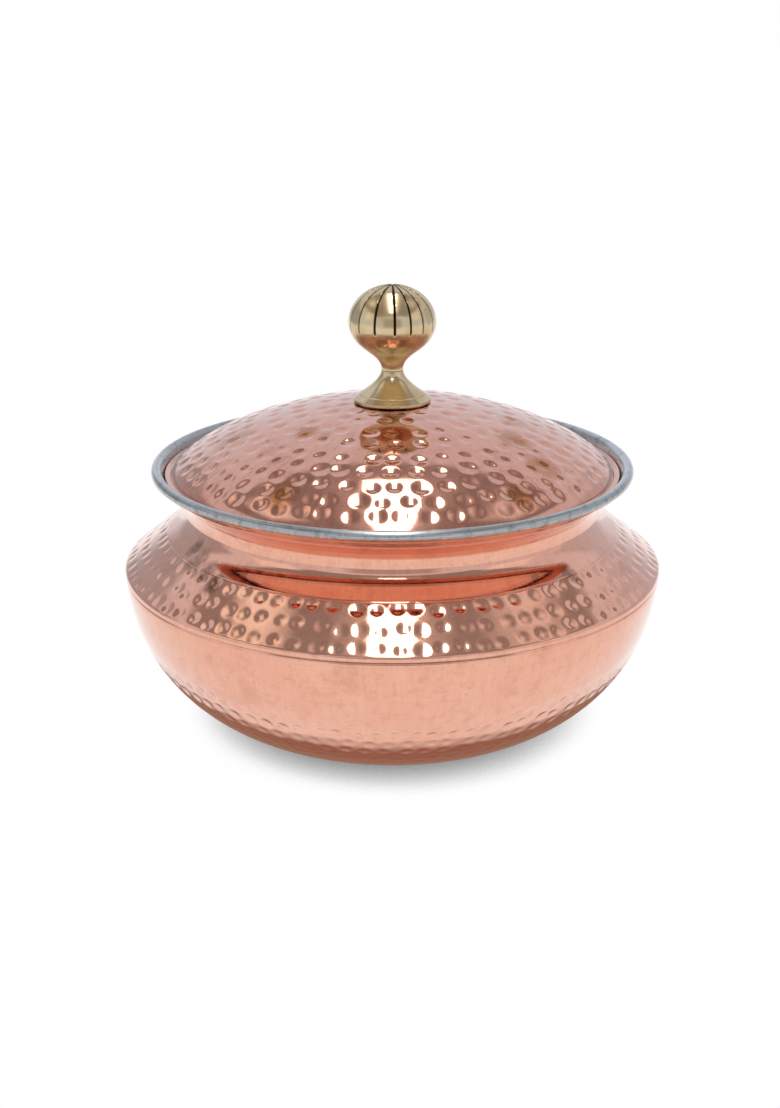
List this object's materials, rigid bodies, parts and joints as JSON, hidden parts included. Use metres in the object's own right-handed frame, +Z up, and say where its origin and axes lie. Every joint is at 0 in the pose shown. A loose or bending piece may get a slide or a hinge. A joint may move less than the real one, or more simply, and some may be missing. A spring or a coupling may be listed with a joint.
{
  "type": "lidded cooking pot",
  "caption": "Round-bellied copper handi with a flared, wire-rolled mouth and a domed lid that lifts off by a fluted brass knob.",
  "frame": {"origin": "centre of the flat base, where the pot stands", "axes": "+Z up along the axis that all the pieces are turned about, from the base towards the knob"},
  "size_m": [0.2704, 0.2704, 0.2184],
  "materials": {
    "pot_copper": "polished copper sheet, hammered below and on the shoulder, tinned inside",
    "lid_copper": "hammered copper sheet with light heat patina",
    "rim_steel": "drawn wire, hidden in the rolled rim",
    "seam_filler": "brazing filler",
    "knob_brass": "cast, turned and polished brass",
    "fastener_brass": "turned brass, slotted head"
  },
  "bodies": {
    "pot": {"pot_bowl": "pot_copper", "pot_shoulder": "pot_copper", "rim_wire": "rim_steel", "seam_braze": "seam_filler"},
    "lid": {"lid_dome": "lid_copper", "knob_foot": "knob_brass", "knob_ball": "knob_brass", "knob_washer": "fastener_brass", "knob_screw": "fastener_brass"}
  },
  "joints": [
    {"name": "lid_lift", "type": "slide", "parent": "pot", "child": "lid", "axis": [0, 0, 1], "range_m": [0, 0.12]}
  ]
}
